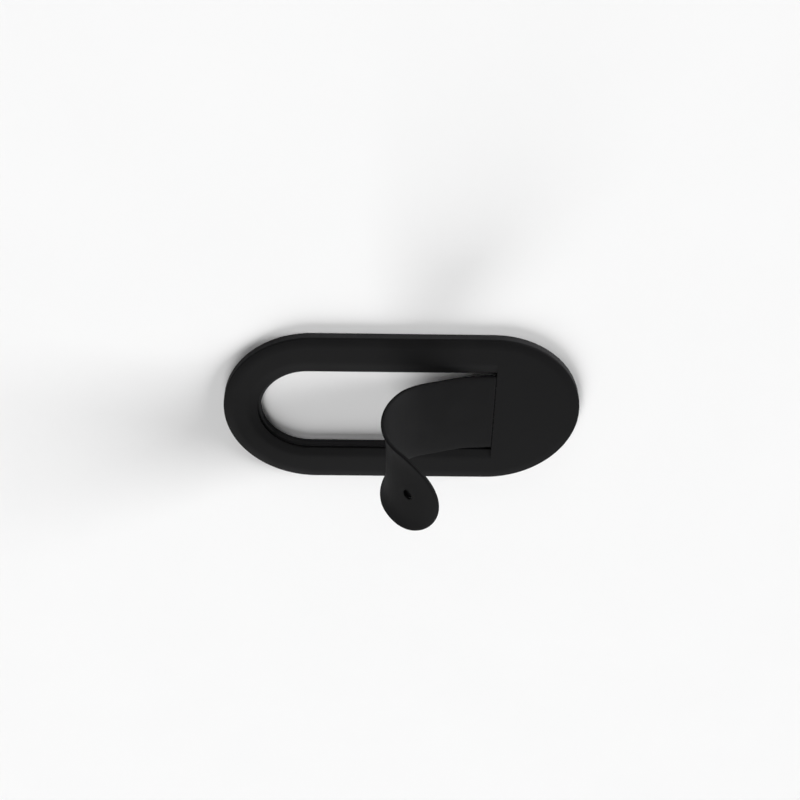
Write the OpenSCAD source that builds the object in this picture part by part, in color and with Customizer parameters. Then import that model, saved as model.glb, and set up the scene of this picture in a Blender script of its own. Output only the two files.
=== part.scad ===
// Stick-on phone stand with a curling strap.
// A flat stadium pad carries a moulded sheet with a long opening. A strap is
// moulded in one with the sheet at the straight end of the opening. A thin
// spring strip inside the strap lets it lie flat in the opening or stay curled
// up as a leg. The model shows it curled.
// The pad lies flat with its sticky face down, at height zero. X runs along the
// pad towards the strap's root, Z points out of the pad.

/* [Pad] */
// Length of the pad over its round ends
pad_length = 81.4; // [72:0.1:95]
// Width of the pad
pad_width = 41.4; // [37:0.1:50]
// Thickness of the adhesive pad under the sheet
adhesive_t = 1.65; // [1.2:0.05:3]
// Thickness of the moulded sheet
sheet_t = 0.9; // [0.8:0.05:1.5]
// Width of the sloping rim round the outside
rim_w = 2; // [0.5:0.1:3]
// Drop of the sloping rim
rim_drop = 0.3; // [0.1:0.05:0.4]

/* [Opening] */
// Width of the opening in the sheet
opening_width = 23.4; // [21:0.1:27]
// Sheet left between the opening and the pad at the round end
round_end_wall = 7.8; // [5:0.1:10]
// Sheet left between the opening and the pad at the strap's root
root_end_wall = 19.5; // [17:0.1:24]
// How far the adhesive pad shows inside the edge of the sheet
ledge = 0.65; // [0:0.05:0.65]
// Width of the sloping lip round the opening
lip_w = 2.4; // [0.5:0.1:3]
// Drop of the sloping lip
lip_drop = 0.35; // [0.1:0.05:0.45]

/* [Strap] */
// Gap between the strap and each side of the opening
strap_gap = 1; // [0.95:0.05:2]
// Thickness of the strap
strap_t = 0.9; // [0.7:0.05:1.1]
// Radius along the strap's long edges
strap_edge_r = 0.25; // [0.1:0.05:0.3]
// Angle at which the strap leaves the sheet
root_lift = 4; // [2:0.5:8]
// Length of the slowly rising stretch at the root
root_length = 16.4; // [12:0.1:17]
// Angle through which that stretch turns
root_turn = 18; // [10:1:24]
// Radius of the tight bend, at mid thickness
bend_radius = 13.6; // [11:0.1:14]
// Angle through which the whole tight bend turns
bend_turn = 104; // [80:1:108]
// Angle through which the round tip turns
tip_turn = 28; // [16:1:32]
// Straight sides of the tip before its round end
tip_straight = 0.2; // [0.1:0.1:1]
// Diameter of the locating hole in the tip
hole_d = 2.4; // [1:0.1:3]
// Distance of that hole from the end of the strap
hole_from_end = 7.8; // [5:0.1:10]

/* [Spring strip] */
// Thickness of the spring strip
spring_t = 0.2; // [0.1:0.05:0.3]
// Width of the spring strip
spring_width = 15; // [10:0.5:17]
// Length of the strip held in the sheet beyond the strap's root
anchor_length = 12; // [6:0.5:14]

/* [Clearances] */
// How far outside the strap's outer skin each bending line lies
hinge_gap = 0.02; // [0.01:0.01:0.1]
// Gap round the spring strip in its moulding
bond_gap = 0.02; // [0.01:0.01:0.05]
// Gap at the foot of the strap, where it meets the sheet
root_gap = 0.02; // [0.01:0.01:0.1]

/* [Hidden] */
$fn = 180;

silicone_colour = "#232324";
foam_colour = "#3a3b3d";
steel_colour = "#b4b7ba";

bend_links = 6; // links that the tight bend is cut into, each a node of its own
past = 1; // how far a cut runs past the face it opens
cut_angle = 1; // the same for a cut that follows a bend

pad_r = pad_width / 2;
pad_straight = pad_length - pad_width;
pad_h = adhesive_t + sheet_t;

opening_r = opening_width / 2;
round_centre_x = -pad_length / 2 + round_end_wall + opening_r;
root_x = pad_length / 2 - root_end_wall;

strap_w = opening_width - 2 * strap_gap;
strap_mid_z = pad_h - strap_t / 2;
root_radius = root_length / (root_turn * PI / 180);
tip_length = strap_w / 2 + tip_straight;
tip_radius = tip_length / (tip_turn * PI / 180);

// The strap is a row of arcs, each tangent to the one before. Stretch 0 is the
// root, then come the links of the tight bend, and the last one is the tip.
stretches = bend_links + 2;
function radius_of(i) = i == 0 ? root_radius : i <= bend_links ? bend_radius : tip_radius;
function turn_of(i) = i == 0 ? root_turn : i <= bend_links ? bend_turn / bend_links : tip_turn;

// Slope at the start of a stretch, from the flat sheet
function slope_at(i) = i == 0 ? root_lift : slope_at(i - 1) + turn_of(i - 1);

// Unit vector from the strap's middle towards the inside of the curl
function inward(slope) = [sin(slope), 0, cos(slope)];

// Point at mid thickness where a stretch starts
function start_of(i) = i == 0
    ? [root_x - root_gap - strap_t / 2 * sin(root_lift), 0, strap_mid_z]
    : start_of(i - 1) + radius_of(i - 1) * (inward(slope_at(i - 1)) - inward(slope_at(i)));

// Puts the start of a stretch at the origin, running along -X, curling towards +Z
module at_stretch(i) {
    translate(start_of(i)) rotate([0, slope_at(i), 0]) children();
}

// Section across the strap: X through its thickness, Y across its width
module band_section(w, t, edge_r) {
    square([t - 2 * edge_r, w], center = true);
    square([t, w - 2 * edge_r], center = true);
    for (sx = [-1, 1], sy = [-1, 1])
        translate([sx * (t / 2 - edge_r), sy * (w / 2 - edge_r)]) circle(edge_r, $fn = 24);
}

// One stretch bent to its arc, longer by an angle at both ends if asked
module bent_band(i, over = 0) {
    translate([0, 0, radius_of(i)]) rotate([90, 0, 0])
        rotate([0, 0, -90 - turn_of(i) - over])
            rotate_extrude(angle = turn_of(i) + 2 * over) translate([radius_of(i), 0]) children();
}

module strap_band(i) {
    bent_band(i) band_section(strap_w, strap_t, strap_edge_r);
}

module spring_band(i) {
    bent_band(i) square([spring_t, spring_width], center = true);
}

module spring_pocket(i) {
    bent_band(i, cut_angle)
        square([spring_t + 2 * bond_gap, spring_width + 2 * bond_gap], center = true);
}

// Round end of the strap or of the strip, as a column square to the tip's chord
module tip_column(r) {
    half = tip_turn / 2;
    chord = 2 * tip_radius * sin(half);
    centre = chord - strap_w / 2;
    rotate([0, half, 0]) {
        translate([-centre, 0, 0]) cylinder(r = r, h = strap_w, center = true);
        translate([-centre, -r, -strap_w / 2]) cube([centre + past, 2 * r, strap_w]);
    }
}

// Locating hole through the tip, square to its face
module tip_hole(r) {
    along = (tip_length - hole_from_end) / tip_length * tip_turn;
    translate([0, 0, tip_radius]) rotate([0, along, 0]) translate([0, 0, -tip_radius])
        cylinder(r = r, h = 4 * strap_t, center = true);
}

module strap_stretch(i) {
    color(silicone_colour) at_stretch(i) difference() {
        strap_band(i);
        spring_pocket(i);
    }
}

module spring_stretch(i) {
    color(steel_colour) at_stretch(i) spring_band(i);
}

module strap_root() { strap_stretch(0); }
module strap_link_1() { strap_stretch(1); }
module strap_link_2() { strap_stretch(2); }
module strap_link_3() { strap_stretch(3); }
module strap_link_4() { strap_stretch(4); }
module strap_link_5() { strap_stretch(5); }
module strap_link_6() { strap_stretch(6); }

module strap_tip() {
    last = stretches - 1;
    color(silicone_colour) at_stretch(last) difference() {
        intersection() {
            strap_band(last);
            tip_column(strap_w / 2);
        }
        intersection() {
            spring_pocket(last);
            tip_column(spring_width / 2 + bond_gap);
        }
        tip_hole(hole_d / 2);
    }
}

module spring_root() { spring_stretch(0); }
module spring_link_1() { spring_stretch(1); }
module spring_link_2() { spring_stretch(2); }
module spring_link_3() { spring_stretch(3); }
module spring_link_4() { spring_stretch(4); }
module spring_link_5() { spring_stretch(5); }
module spring_link_6() { spring_stretch(6); }

module spring_tip() {
    last = stretches - 1;
    color(steel_colour) at_stretch(last) difference() {
        intersection() {
            spring_band(last);
            tip_column(spring_width / 2);
        }
        tip_hole(hole_d / 2 + bond_gap);
    }
}

// End of the strip that the sheet is moulded round
module anchor_blank(gap) {
    translate([root_x, -spring_width / 2 - gap, strap_mid_z - spring_t / 2 - gap])
        cube([anchor_length + gap, spring_width + 2 * gap, spring_t + 2 * gap]);
}

module spring_anchor() {
    color(steel_colour) anchor_blank(0);
}

// Half of the sheet's section, from its middle to the sloping rim
module sheet_profile() {
    polygon([[0, adhesive_t], [pad_r, adhesive_t], [pad_r, pad_h - rim_drop],
             [pad_r - rim_w, pad_h], [0, pad_h]]);
}

// Half of the section of the cut that makes the opening, with its sloping lip
module opening_profile() {
    polygon([[0, adhesive_t - past], [opening_r, adhesive_t - past],
             [opening_r, pad_h - lip_drop], [opening_r + lip_w, pad_h],
             [opening_r + lip_w, pad_h + past], [0, pad_h + past]]);
}

// Sweeps half a section straight along X, on both sides of the middle
module both_sides(from_x, to_x) {
    translate([from_x, 0, 0]) rotate([90, 0, 90]) linear_extrude(to_x - from_x) {
        children();
        mirror([1, 0]) children();
    }
}

module moulded_sheet() {
    color(silicone_colour) difference() {
        union() {
            both_sides(-pad_straight / 2, pad_straight / 2) sheet_profile();
            for (sx = [-1, 1]) translate([sx * pad_straight / 2, 0, 0])
                rotate_extrude() sheet_profile();
        }
        both_sides(round_centre_x, root_x) opening_profile();
        translate([round_centre_x, 0, 0]) rotate_extrude() opening_profile();
        translate([-past, 0, 0]) anchor_blank(bond_gap);
        anchor_blank(bond_gap);
    }
}

module stadium(r, from_x, to_x) {
    translate([from_x, -r]) square([to_x - from_x, 2 * r]);
    for (x = [from_x, to_x]) translate([x, 0]) circle(r);
}

module adhesive_pad() {
    inner_r = opening_r - ledge;
    color(foam_colour) linear_extrude(adhesive_t) difference() {
        stadium(pad_r, -pad_straight / 2, pad_straight / 2);
        translate([round_centre_x, 0]) circle(inner_r);
        translate([round_centre_x, -inner_r]) square([root_x - round_centre_x, 2 * inner_r]);
    }
}

moulded_sheet();
adhesive_pad();
strap_root();
strap_link_1();
strap_link_2();
strap_link_3();
strap_link_4();
strap_link_5();
strap_link_6();
strap_tip();
spring_anchor();
spring_root();
spring_link_1();
spring_link_2();
spring_link_3();
spring_link_4();
spring_link_5();
spring_link_6();
spring_tip();
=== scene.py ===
# %% [markdown]
# # A stick-on phone stand with a curling strap
# The stand is a flat pad of black silicone on adhesive foam. A strap is
# moulded in one with it. A spring strip inside the strap keeps it curled up
# as a leg, or flat in its opening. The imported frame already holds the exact
# solids and their hinges, so this file only adds looks: softer skins over the
# silicone, finishes for what stays, and a plain studio.

# %% Load the frame
import math

import bmesh
import bpy
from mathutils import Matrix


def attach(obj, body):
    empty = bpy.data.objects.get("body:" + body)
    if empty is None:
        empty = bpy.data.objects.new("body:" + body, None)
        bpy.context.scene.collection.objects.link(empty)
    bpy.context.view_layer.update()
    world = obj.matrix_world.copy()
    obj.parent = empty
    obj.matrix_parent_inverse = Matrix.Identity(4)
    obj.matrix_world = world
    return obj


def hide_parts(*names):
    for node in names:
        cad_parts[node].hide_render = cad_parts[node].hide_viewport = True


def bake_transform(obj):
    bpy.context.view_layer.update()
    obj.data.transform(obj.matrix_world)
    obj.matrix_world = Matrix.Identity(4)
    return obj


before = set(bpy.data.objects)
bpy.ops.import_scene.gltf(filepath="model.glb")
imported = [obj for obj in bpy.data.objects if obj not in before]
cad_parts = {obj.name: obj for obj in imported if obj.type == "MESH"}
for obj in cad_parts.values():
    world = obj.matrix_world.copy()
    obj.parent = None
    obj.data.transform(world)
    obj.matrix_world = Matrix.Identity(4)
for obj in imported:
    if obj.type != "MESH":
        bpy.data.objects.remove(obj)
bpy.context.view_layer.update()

# %% [markdown]
# ## Measures
# The frame's mesh is fixed, and a skin has to lie where its solid lies. So the
# sizes that the skins follow are written here once more, in metres, under the
# names that the part's source uses. Only the tip is a little longer than its
# solid, to meet the photo's outline.

# %% Sizes of the pad and the strap
MM = 0.001
pad_length, pad_width = 81.4 * MM, 41.4 * MM
adhesive_t, sheet_t = 1.65 * MM, 0.9 * MM
pad_top = adhesive_t + sheet_t
opening_width = 23.4 * MM
opening_low_x, root_x = -32.9 * MM, 21.2 * MM
rim_drop, lip_drop = 0.3 * MM, 0.35 * MM
strap_w, strap_t = 21.4 * MM, 0.9 * MM
root_gap, root_lift = 0.02 * MM, 4
root_length, root_turn = 16.4 * MM, 18
bend_radius, bend_turn, bend_links = 13.6 * MM, 104, 6
tip_length, tip_turn = 11.15 * MM, 28
bend_length = math.radians(bend_turn) * bend_radius
strap_length = root_length + bend_length + tip_length
hole_d, hole_from_end = 2.4 * MM, 7.8 * MM
print("strap length along its middle, mm:", round(strap_length / MM, 2))

# %% [markdown]
# ## Working as by hand
# Every skin is made with the same operators that a modeller clicks. They act
# on whatever is selected, so each helper first lets go of everything, then
# picks what it needs by its place or by the way that it faces.

# %% Helpers for picking
def pick_only(piece):
    """Leaves edit mode and selects one object and nothing else."""
    if bpy.context.object and bpy.context.object.mode != "OBJECT":
        bpy.ops.object.mode_set(mode="OBJECT")
    bpy.ops.object.select_all(action="DESELECT")
    piece.select_set(True)
    bpy.context.view_layer.objects.active = piece


def pick(mode, wanted):
    """In edit mode, selects the wanted corners, edges or faces."""
    bpy.ops.mesh.select_mode(type=mode)
    bpy.ops.mesh.select_all(action="DESELECT")
    mesh = bmesh.from_edit_mesh(bpy.context.object.data)
    for part in {"VERT": mesh.verts, "EDGE": mesh.edges, "FACE": mesh.faces}[mode]:
        if wanted(part):
            part.select_set(True)
    if mode == "VERT":
        mesh.select_flush(True)
    bmesh.update_edit_mesh(bpy.context.object.data)


# %% [markdown]
# ## The plate that every skin starts from
# The pad, its opening and the strap are all the same kind of outline: straight
# sides and round ends. It could be drawn as a curve, or a circle could be
# pulled apart. A plane whose corners are bevelled until they meet is quickest,
# and it keeps a square end where the strap's root needs one.

# %% A plate with round ends
end_steps = 36
bevel_gap, merge_gap = 0.0005 * MM, 0.005 * MM


def add_round_plate(name, low_x, high_x, half_width, height, round_high_end):
    """A flat face with its -X end round, and its +X end too if asked."""
    bpy.ops.object.select_all(action="DESELECT")
    bpy.ops.mesh.primitive_plane_add(size=1)
    plate = bpy.context.object
    plate.name = plate.data.name = name
    middle = (low_x + high_x) / 2
    bpy.ops.object.mode_set(mode="EDIT")
    bpy.ops.mesh.select_all(action="SELECT")
    bpy.ops.transform.resize(value=(high_x - low_x, 2 * half_width, 1))
    bpy.ops.transform.translate(value=(middle, 0, height))
    pick("VERT", lambda corner: round_high_end or corner.co.x < middle)
    bpy.ops.mesh.bevel(offset_type="ABSOLUTE", offset=half_width - bevel_gap, segments=end_steps,
                       profile=0.5, affect="VERTICES", clamp_overlap=False)
    bpy.ops.mesh.select_all(action="SELECT")
    bpy.ops.mesh.remove_doubles(threshold=merge_gap)
    bpy.ops.mesh.select_mode(type="FACE")
    bpy.ops.mesh.select_all(action="SELECT")
    return plate


def raise_face(rise):
    """Extrudes the selected face straight up or down."""
    bpy.ops.mesh.extrude_region_move(TRANSFORM_OT_translate={"value": (0, 0, rise)})


def step_in(points):
    """Insets the selected face through a profile of (distance in, rise) pairs."""
    was_in, was_up = 0, 0
    for now_in, now_up in points:
        bpy.ops.mesh.inset(thickness=now_in - was_in, depth=now_up - was_up, use_even_offset=True)
        was_in, was_up = now_in, now_up


def face_out():
    """Turns every face outward."""
    bpy.ops.mesh.select_all(action="SELECT")
    bpy.ops.mesh.normals_make_consistent(inside=False)


def merge_and_face_out():
    """Closes hairline gaps, turns every face outward and leaves edit mode."""
    bpy.ops.mesh.select_all(action="SELECT")
    bpy.ops.mesh.remove_doubles(threshold=0.0001 * MM)
    face_out()
    bpy.ops.object.mode_set(mode="OBJECT")


def smooth_shade(piece):
    """Shades smooth, except over edges sharper than 35 degrees."""
    pick_only(piece)
    bpy.ops.object.shade_smooth_by_angle(angle=math.radians(35))


# %% [markdown]
# ## The moulded sheet
# The real sheet is compression-moulded silicone 0.9 mm thick. Its outside
# falls away in a soft rim, and its opening is ringed by an even slope. The
# rim is built as one closed plate whose top is inset again and again, each
# time a little higher. That gives a true offset of the outline all round,
# which scaling would not. A last narrow inset keeps the shading of the slope
# off the flat top.

# %% The plate with its soft rim
edge_turns = [math.radians(angle) for angle in (22.5, 45, 67.5, 90)]


def rim_profile():
    """A small round edge, then a pillow-shaped slope up to the flat top."""
    edge_r, slope_w, slope_steps, fullness = 0.14 * MM, 2.2 * MM, 9, 1.9
    points = [(edge_r * (1 - math.cos(turn)), edge_r * math.sin(turn)) for turn in edge_turns]
    for i in range(1, slope_steps + 1):
        along = i / slope_steps
        rise = rim_drop * (1 - (1 - along) ** fullness)
        points.append((edge_r + slope_w * along, edge_r + rise))
    return points


sheet = add_round_plate("sheet_skin", -pad_length / 2, pad_length / 2, pad_width / 2,
                        adhesive_t, True)
rim_points = rim_profile()
raise_face(sheet_t - rim_points[-1][1])
step_in(rim_points)
top_border = 0.25 * MM
bpy.ops.mesh.inset(thickness=top_border, depth=0)
merge_and_face_out()
print("sheet faces before its opening:", len(sheet.data.polygons))

# %% [markdown]
# The slope round the opening can't be inset on the plate, because it stops
# dead at the crease where the strap leaves the sheet. So a plug of the
# opening's own shape is made the same way, upside down, sliced square at the
# crease, and taken out of the plate with a boolean. The plug starts a hair
# above the sheet's top, so that the two flat faces don't coincide.

# %% The opening with its sloping lip
above_top = 0.05 * MM


def lip_profile():
    """From the flat top inwards: a soft shoulder, an even slope, a small round edge."""
    slope_w, shoulder_w, edge_r = 1.8 * MM, 1.2 * MM, 0.1 * MM
    shoulder_steps, slope_steps = 8, 3
    steep = lip_drop / (slope_w + shoulder_w / 2)
    points = [(above_top, above_top)]
    for i in range(2, shoulder_steps + 1):
        along = i / shoulder_steps * shoulder_w
        points.append((above_top + along, above_top + steep * along ** 2 / (2 * shoulder_w)))
    start_in, start_down = points[-1]
    for i in range(1, slope_steps + 1):
        along = i / slope_steps * (slope_w - edge_r)
        points.append((start_in + along, start_down + steep * along))
    start_in, start_down = points[-1]
    for turn in edge_turns:
        points.append((start_in + edge_r * math.sin(turn),
                       start_down + edge_r * (1 - math.cos(turn))))
    return points


lip_points = lip_profile()
lip_w = lip_points[-1][0]
plug_t = 1 * MM
plug = add_round_plate("opening_plug", opening_low_x - lip_w, root_x + 2 * lip_w,
                       opening_width / 2 + lip_w, pad_top + plug_t, False)
raise_face(above_top - plug_t)
face_out()
pick("FACE", lambda face: face.normal.z < -0.9)
step_in(lip_points)
raise_face(-2 * sheet_t)
bpy.ops.mesh.select_all(action="SELECT")
bpy.ops.mesh.bisect(plane_co=(root_x, 0, 0), plane_no=(1, 0, 0), use_fill=True, clear_outer=True)
merge_and_face_out()
print("lip width, mm:", round(lip_w / MM, 2), "plug faces:", len(plug.data.polygons))


# %% Cut the opening
def cut_away(piece, tool):
    """Takes the tool's shape out of the piece, and throws the tool away."""
    pick_only(piece)
    cut = piece.modifiers.new("cut", "BOOLEAN")
    cut.operation, cut.solver, cut.object = "DIFFERENCE", "EXACT", tool
    bpy.ops.object.modifier_apply(modifier=cut.name)
    bpy.data.objects.remove(tool)


cut_away(sheet, plug)
pick_only(sheet)
bpy.ops.object.mode_set(mode="EDIT")
merge_and_face_out()
smooth_shade(sheet)
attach(sheet, "pad")
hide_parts("moulded_sheet")
print("sheet faces:", len(sheet.data.polygons))

# %% [markdown]
# ## The strap, flat
# The real strap is moulded flat round its spring strip, and only curls up when
# the strip snaps over. It is modelled in the same order: first a flat plate
# with a round tip, then its hole, then its edges are rounded. The hole is dark
# in the photo, so it is sunk from the outer face and stops at a thin web.

# %% The flat strap
flat_strap = add_round_plate("flat_strap", -strap_length, 0, strap_w / 2, -strap_t / 2, False)
raise_face(strap_t)
face_out()
bpy.ops.object.mode_set(mode="OBJECT")

hole_at, hole_web, drill_length = hole_from_end - strap_length, 0.15 * MM, 4 * strap_t
bpy.ops.object.select_all(action="DESELECT")
bpy.ops.mesh.primitive_cylinder_add(
    vertices=40, radius=hole_d / 2, depth=drill_length,
    location=(hole_at, 0, strap_t / 2 - hole_web - drill_length / 2))
cut_away(flat_strap, bpy.context.object)
print("hole at, mm:", round(hole_at / MM, 2))

# %% [markdown]
# The long edges and the round tip get the fullest rounding. At the crease it is
# smaller, because the spring strip lies close under the face there, and at the
# hole it is only a broken edge.

# %% Round its edges
side_r, root_r, hole_r = 0.38 * MM, 0.3 * MM, 0.12 * MM
behind_crease = -0.001 * MM


def near_hole(co):
    return math.hypot(co.x - hole_at, co.y) < hole_d


def round_edges(radius, wanted):
    """Bevels the square edges whose middle is wanted."""
    def is_square_and_wanted(edge):
        middle = (edge.verts[0].co + edge.verts[1].co) / 2
        return edge.calc_face_angle(0) > math.radians(60) and wanted(middle)

    pick("EDGE", is_square_and_wanted)
    bpy.ops.mesh.bevel(offset=radius, segments=5, profile=0.5, affect="EDGES")


pick_only(flat_strap)
bpy.ops.object.mode_set(mode="EDIT")
round_edges(side_r, lambda co: co.x < behind_crease and not near_hole(co))
round_edges(root_r, lambda co: co.x > behind_crease)
round_edges(hole_r, near_hole)
print("rounding, mm:", [round(radius / MM, 2) for radius in (side_r, root_r, hole_r)])

# %% [markdown]
# A flat face can't bend, so the plate is sliced into rows and columns. Thin
# rows lie beside each place where a skin will end, so the shading runs on
# unbroken from one skin to the next.

# %% Slice it into rows and columns
link_length = bend_length / bend_links
seams = [root_length / 2] + [root_length + (i + 0.5) * link_length for i in range(bend_links)]
row_spacing, seam_row, seam_clear, columns = 0.75 * MM, 0.04 * MM, 0.2 * MM, 14
rows = [i * row_spacing for i in range(1, int(strap_length / row_spacing))]
rows = [at for at in rows if all(abs(at - seam) > seam_clear for seam in seams)]
rows += [seam + side * seam_row for seam in seams for side in (-1, 1)]
for at in sorted(rows):
    bpy.ops.mesh.select_all(action="SELECT")
    bpy.ops.mesh.bisect(plane_co=(-at, 0, 0), plane_no=(1, 0, 0))
for i in range(1, columns):
    bpy.ops.mesh.select_all(action="SELECT")
    bpy.ops.mesh.bisect(plane_co=(0, (i / columns - 0.5) * strap_w, 0), plane_no=(0, 1, 0))
merge_and_face_out()
print("flat strap faces:", len(flat_strap.data.polygons), "rows:", len(rows))

# %% [markdown]
# ## The strap's bow and curl
# A bent elastic strip also bows across its width: its two edges lean away from
# the inside of the curl. The photo shows this well. Two Displace modifiers do
# it, each weighted by a vertex group, so the bow fades in over the first
# centimetre from the crease, where the sheet holds the strap flat. A Curve
# modifier then lays the strap along its real path of three tangent arcs.

# %% The path of the curl
def curl_path():
    """Points along the strap's middle, in X and Z, from its foot to its tip."""
    longest_step = 0.3 * MM
    slope = math.radians(root_lift)
    x = root_x - root_gap - strap_t / 2 * math.sin(slope)
    z = pad_top - strap_t / 2
    points = [(x, z)]
    for length, turn in zip((root_length, bend_length, tip_length),
                            (root_turn, bend_turn, tip_turn)):
        count = round(length / longest_step)
        radius = length / math.radians(turn)
        for _ in range(count):
            new_slope = slope + math.radians(turn) / count
            x += radius * (math.sin(slope) - math.sin(new_slope))
            z += radius * (math.cos(slope) - math.cos(new_slope))
            slope = new_slope
            points.append((x, z))
    return points


path_points = curl_path()
path_data = bpy.data.curves.new("curl", "CURVE")
path_data.dimensions = "2D"
path_spline = path_data.splines.new("POLY")
path_spline.points.add(len(path_points) - 1)
for point, (x, z) in zip(path_spline.points, path_points):
    point.co = (x, z, 0, 1)
path = bpy.data.objects.new("curl", path_data)
bpy.context.collection.objects.link(path)
print("end of the path, mm:", [round(c / MM, 2) for c in path_points[-1]])

# %% [markdown]
# The bow was read from the photo as three pairs of heights: how far the middle
# and the edges of the strap stand from the path in its root stretch, in its
# tight bend and in its tip. The edges curve away late, with the fourth power
# of the distance from the middle.

# %% Weights for the bow
bow_run, bow_change, bow_limit = 9 * MM, 8 * MM, 1.5 * MM
middle_bow = (0.05 * MM, 0.1 * MM, -0.15 * MM)
edge_bow = (-0.35 * MM, -1.21 * MM, -0.8 * MM)
before_bend, before_tip = 3 * MM, 5 * MM


def share_past(along, start):
    """0 before the start, 1 well past it, and even between."""
    return max(0, min(1, (along - start) / bow_change))


def bow_height(along, across):
    """How far the bow moves a point, above 0 where it is towards the inside of the curl."""
    in_bend = share_past(along, root_length - before_bend)
    in_tip = share_past(along, root_length + bend_length - before_tip)
    middle, edge = (at_root + (at_bend - at_root) * in_bend + (at_tip - at_bend) * in_tip
                    for at_root, at_bend, at_tip in (middle_bow, edge_bow))
    fade = min(1, along / bow_run)
    return fade ** 2 * (3 - 2 * fade) * (middle + (edge - middle) * min(1, across) ** 4)


inward = flat_strap.vertex_groups.new(name="inward")
outward = flat_strap.vertex_groups.new(name="outward")
for corner in flat_strap.data.vertices:
    height = bow_height(max(0, -corner.co.x), abs(2 * corner.co.y / strap_w))
    group = inward if height > 0 else outward
    group.add([corner.index], abs(height) / bow_limit, "REPLACE")
print("bow at the edges, mm:", [round(height / MM, 2) for height in edge_bow])


# %% Cut, bow and curl one skin after another
def bow_and_curl(piece):
    """Bows the flat piece, then lays it along the path."""
    pick_only(piece)
    for group, height in (("inward", bow_limit), ("outward", -bow_limit)):
        bow = piece.modifiers.new(group, "DISPLACE")
        bow.vertex_group, bow.direction, bow.mid_level, bow.strength = group, "Z", 0, height
        bpy.ops.object.modifier_apply(modifier=bow.name)
    piece.scale.x = -1
    piece.rotation_euler.x = math.radians(90)
    bpy.ops.object.transform_apply(rotation=True, scale=True)
    curl = piece.modifiers.new("curl", "CURVE")
    curl.object, curl.deform_axis = path, "POS_X"
    bpy.ops.object.modifier_apply(modifier=curl.name)
    piece.rotation_euler.x = math.radians(90)
    bpy.ops.object.transform_apply(rotation=True)
    bpy.ops.object.mode_set(mode="EDIT")
    merge_and_face_out()


def skin_between(name, start, end):
    """A copy of the flat strap, cut off square at both of its seams."""
    pick_only(flat_strap)
    bpy.ops.object.duplicate()
    piece = bpy.context.object
    piece.name = piece.data.name = name
    bpy.ops.object.mode_set(mode="EDIT")
    for at, gone in ((start, {"clear_outer": True}), (end, {"clear_inner": True})):
        if at is not None:
            bpy.ops.mesh.select_all(action="SELECT")
            bpy.ops.mesh.bisect(plane_co=(-at, 0, 0), plane_no=(1, 0, 0), use_fill=True, **gone)
    bpy.ops.object.mode_set(mode="OBJECT")
    bow_and_curl(piece)
    return piece


links = range(1, bend_links + 1)
strap_bodies = ["pad", "root_stretch"] + [f"link_{i}" for i in links] + ["tip"]
strap_nodes = ["strap_root"] + [f"strap_link_{i}" for i in links] + ["strap_tip"]
skins = []
for node, start, end in zip(strap_nodes, [None] + seams, seams + [None]):
    skins.append(skin_between(node.replace("strap", "strap_skin"), start, end))
bpy.data.objects.remove(flat_strap)
bpy.data.objects.remove(path)
print("skins:", [(skin.name, len(skin.data.polygons)) for skin in skins])

# %% [markdown]
# ## The skins at the hinges
# Rigid links can only fold at their hinges, but silicone bends evenly. Each
# skin reaches from the middle of one stretch to the middle of the next. Here
# each skin is shaded smooth, its place is baked into its mesh, and the solid
# that it covers is hidden. Points on the path just before and after each
# hinge, closer together at the crease, are found but not used.


# %% Shade and place each skin
def path_point(along):
    """The point on the strap's middle at a distance from its foot."""
    nearest = round(along / strap_length * (len(path_points) - 1))
    x, z = path_points[max(0, min(nearest, len(path_points) - 1))]
    return (x, 0, z)


hinges = [0] + [root_length + i * link_length for i in range(bend_links + 1)]
reaches = [3.5 * MM] + [link_length / 2] * (bend_links + 1)
for i, skin in enumerate(skins):
    before = path_point(hinges[i] - reaches[i])
    after = path_point(hinges[i] + reaches[i])
    smooth_shade(skin)
    strap_bodies[i + 1]
    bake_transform(skin)
    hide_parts(strap_nodes[i])
print("hinges along the strap, mm:", [round(at / MM, 2) for at in hinges])

# %% [markdown]
# ## Shader arithmetic
# A finish is a graph of small nodes. Written as node calls, even "one minus a
# mask" takes several lines. This class wraps a socket so that Python's own
# operators add the Math nodes, and the graph reads as a formula.


# %% Wires and finishes
class Wire:
    """A value inside a finish. Arithmetic on it adds Math nodes."""

    def __init__(self, finish, socket):
        self.finish, self.socket = finish, socket

    def maths(self, operation, *values):
        return self.finish.node("ShaderNodeMath", {"operation": operation},
                                dict(enumerate(values)))

    def __add__(self, other):
        return self.maths("ADD", self, other)

    __radd__ = __add__

    def __rsub__(self, other):
        return self.maths("SUBTRACT", other, self)

    def __mul__(self, other):
        return self.maths("MULTIPLY", self, other)

    __rmul__ = __mul__

    def fade(self, low, high):
        """0 below low, 1 above high, and smooth between them."""
        return self.finish.node("ShaderNodeMapRange", {"interpolation_type": "SMOOTHSTEP"},
                                {"Value": self, "From Min": low, "From Max": high})


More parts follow.
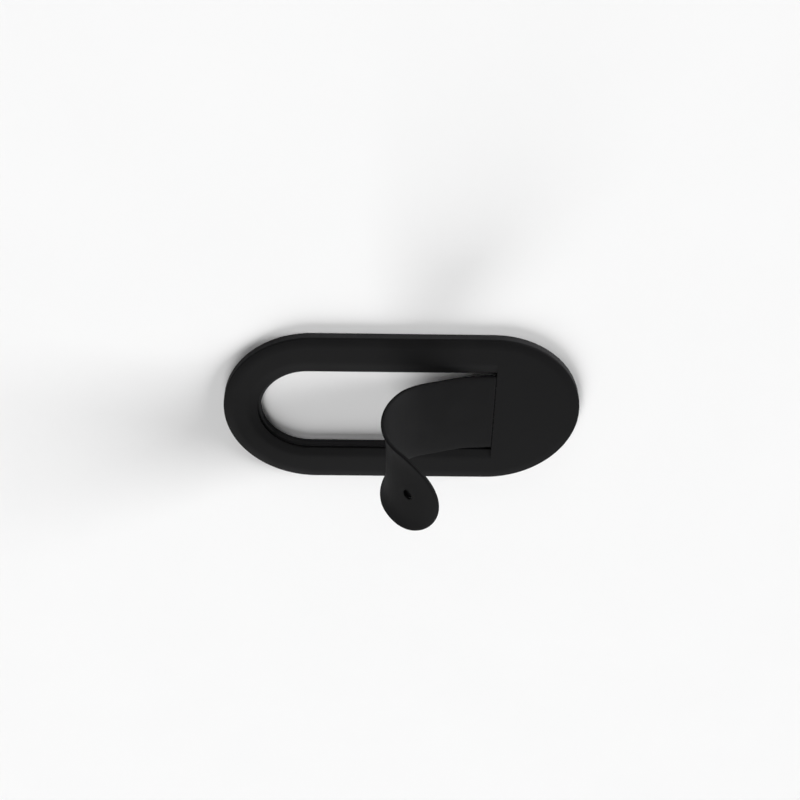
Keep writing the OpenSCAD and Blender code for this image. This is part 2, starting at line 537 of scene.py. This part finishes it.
class Finish:
    """The nodes of a material, or of the sky, added one call at a time."""

    def __init__(self, holder, shader="Principled BSDF", **plain):
        self.holder = holder
        holder.use_nodes = True
        self.tree = holder.node_tree
        self.shader = self.tree.nodes[shader]
        for socket, value in plain.items():
            self.shader.inputs[socket.replace("_", " ")].default_value = value

    def node(self, kind, settings, sockets, out=0):
        """Adds one node: its settings first, then the values or wires of its sockets."""
        made = self.tree.nodes.new(kind)
        for setting, value in settings.items():
            setattr(made, setting, value)
        for socket, value in sockets.items():
            if isinstance(value, Wire):
                self.tree.links.new(value.socket, made.inputs[socket])
            else:
                made.inputs[socket].default_value = value
        return Wire(self, made.outputs[out])

    def place(self, kind="Object"):
        return self.node("ShaderNodeTexCoord", {}, {}, kind)

    def height(self, kind="Object"):
        """How far up: above the ground for a piece, or above the horizon for the sky."""
        return self.node("ShaderNodeSeparateXYZ", {}, {"Vector": self.place(kind)}, "Z")

    def noise(self, scale, detail=3, rough=0.5):
        """Noise whose scale is in spots per metre."""
        return self.node("ShaderNodeTexNoise", {}, {
            "Vector": self.place(), "Scale": scale, "Detail": detail, "Roughness": rough})

    def cells(self, scale):
        """Distance to the nearest of many scattered points."""
        return self.node("ShaderNodeTexVoronoi", {}, {"Vector": self.place(), "Scale": scale})

    def blend_colours(self, share, first, second):
        """From the first colour to the second, each given as red, green and blue."""
        return self.node("ShaderNodeMix", {"data_type": "RGBA"},
                         {"Factor": share, 6: (*first, 1), 7: (*second, 1)}, 2)

    def bump(self, relief, depth, strength):
        return self.node("ShaderNodeBump", {},
                         {"Height": relief, "Distance": depth, "Strength": strength})

    def feed(self, **sockets):
        """Wires values into the shader."""
        for socket, wire in sockets.items():
            self.tree.links.new(wire.socket, self.shader.inputs[socket.replace("_", " ")])


def coat(piece, finish):
    """Gives a piece one finish and nothing else."""
    piece.data.materials.clear()
    piece.data.materials.append(finish.holder)


# %% [markdown]
# ## Black silicone
# Moulded silicone is matte because its mould was blasted. The surface has a
# very fine grain, slow changes in how matte it is where fingers have touched
# it, and almost no colour. Its gloss is weak, so the specular level is low.

# %% Silicone finish
silicone = Finish(bpy.data.materials.new("black_silicone"), Specular_IOR_Level=0.04)
handled = silicone.noise(140).fade(0.35, 0.7)
grain = silicone.noise(6500, detail=2, rough=0.6)
mottle = silicone.noise(900)
silicone.feed(
    Base_Color=silicone.blend_colours(0.7 * handled + 0.3 * mottle,
                                      (0.0069, 0.0069, 0.0072), (0.0087, 0.0087, 0.009)),
    Roughness=0.6 + 0.06 * handled + 0.06 * mottle,
    Normal=silicone.bump(grain + 0.6 * mottle, 0.02 * MM, 0.6))
for skin in [sheet] + skins:
    coat(skin, silicone)
print("silicone on", 1 + len(skins), "skins")

# %% [markdown]
# ## Adhesive foam
# The foam under the sheet is dark grey and closed-celled. Its cut edges show
# fine open pores, and its underside carries the tacky film, which is smoother
# and glossier. One finish does both: the height above the ground tells the
# film from the cut edge.

# %% Foam finish
foam = Finish(bpy.data.materials.new("adhesive_foam"), Specular_IOR_Level=0.15)
film = 1 - foam.height().fade(0.02 * MM, 0.08 * MM)
pores = foam.cells(4200).fade(0.1, 0.45)
tone = foam.noise(500)
foam.feed(
    Base_Color=foam.blend_colours(0.65 * pores + 0.35 * tone,
                                  (0.009, 0.009, 0.0094), (0.025, 0.025, 0.0262)),
    Roughness=0.85 - 0.5 * film + 0.08 * tone,
    Normal=foam.bump(pores * (1 - 0.85 * film) + 0.3 * tone, 0.05 * MM, 0.8))
coat(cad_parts["adhesive_pad"], foam)
print("foam nodes:", len(foam.tree.nodes))

# %% [markdown]
# ## Spring steel
# The strip is buried in the strap, so it only shows once the skins are taken
# away. It is rolled steel, and its fine lines run along the strap. Noise that
# is stretched along X gives those lines.

# %% Steel finish
steel = Finish(bpy.data.materials.new("rolled_steel"), Metallic=1.0)
stretched = steel.node("ShaderNodeMapping", {},
                       {"Vector": steel.place(), "Scale": (300, 9000, 300)})
lines = steel.node("ShaderNodeTexNoise", {}, {"Vector": stretched, "Scale": 1.0, "Detail": 3.0})
steel.feed(
    Base_Color=steel.blend_colours(lines, (0.42, 0.43, 0.44), (0.58, 0.59, 0.6)),
    Roughness=0.28 + 0.15 * lines,
    Normal=steel.bump(lines, 0.003 * MM, 0.5))
for name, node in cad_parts.items():
    if name.startswith("spring"):
        coat(node, steel)
print("steel nodes:", len(steel.tree.nodes))

# %% [markdown]
# ## Studio
# The photo has a white ground and soft, even light. The floor is a plain pale
# sheet that runs on past the view. The lights are wide suns, which light it
# evenly right to its edge. The two strong ones stand low, one beyond the far
# long side of the pad and one beyond the strap's root, so slopes that face
# them look lighter than the flat top, as in the photo. Two weak ones fill in.

# %% Floor
bpy.ops.object.select_all(action="DESELECT")
bpy.ops.mesh.primitive_plane_add(size=6)
floor = bpy.context.object
floor.name = "floor"
paper = Finish(bpy.data.materials.new("pale_paper"), Specular_IOR_Level=0.1)
paper_tone = paper.noise(30)
paper.feed(
    Base_Color=paper.blend_colours(paper_tone, (0.87, 0.87, 0.87), (0.89, 0.89, 0.89)),
    Roughness=0.9 + 0.05 * paper_tone)
coat(floor, paper)
print("floor width, m:", round(floor.dimensions.x, 2))


# %% Lights
def add_soft_light(name, around, up, spread, level):
    """A wide, even light. A white card that faces it renders at that level.

    It stands at an angle around from +X towards +Y, and at an angle up."""
    light = bpy.data.lights.new(name, "SUN")
    light.angle, light.energy = math.radians(spread), math.pi * level
    lamp = bpy.data.objects.new(name, light)
    bpy.context.collection.objects.link(lamp)
    lamp.rotation_euler = (math.radians(90 - up), 0, math.radians(around + 90))


add_soft_light("key", around=257, up=27, spread=36, level=0.95)
add_soft_light("side", around=10, up=16, spread=32, level=1.52)
add_soft_light("top", around=180, up=60, spread=30, level=0.14)
add_soft_light("front", around=95, up=8, spread=30, level=0.12)
print("lights:", sorted(light.name for light in bpy.data.lights))

# %% [markdown]
# The sky is dim, so the black silicone has nothing bright above to mirror. Near
# the horizon it turns white, so that low views see a pale backdrop too.

# %% Sky
sky = Finish(bpy.data.worlds.new("studio"), "Background")
overhead = sky.height("Generated").fade(0.12, 0.3)
sky.feed(Color=sky.blend_colours(overhead, (1, 1, 1), (0.05, 0.05, 0.05)))
scene = bpy.context.scene
scene.world = sky.holder
scene.view_settings.view_transform = "Standard"
print("sky nodes:", len(sky.tree.nodes))

# %% [markdown]
# ## Camera
# The camera was fitted to the photo: it looks down at about 49 degrees, from
# the long side of the pad, and it is turned so that the strap's free end hangs
# towards the lower edge of the frame, as in the photo.

# %% The photo's view
eye_data = bpy.data.cameras.new("eye")
eye_data.lens, eye_data.sensor_width = 63.18, 36
eye_data.clip_start, eye_data.clip_end = 0.01, 20
eye = bpy.data.objects.new("eye", eye_data)
bpy.context.collection.objects.link(eye)
eye.location = (-5.03 * MM, 212.31 * MM, 243.74 * MM)
eye.rotation_euler = (math.radians(-40.874), math.radians(-0.218), math.radians(1.005))
scene.camera = eye
print("camera distance, mm:", round(eye.location.length / MM, 1))
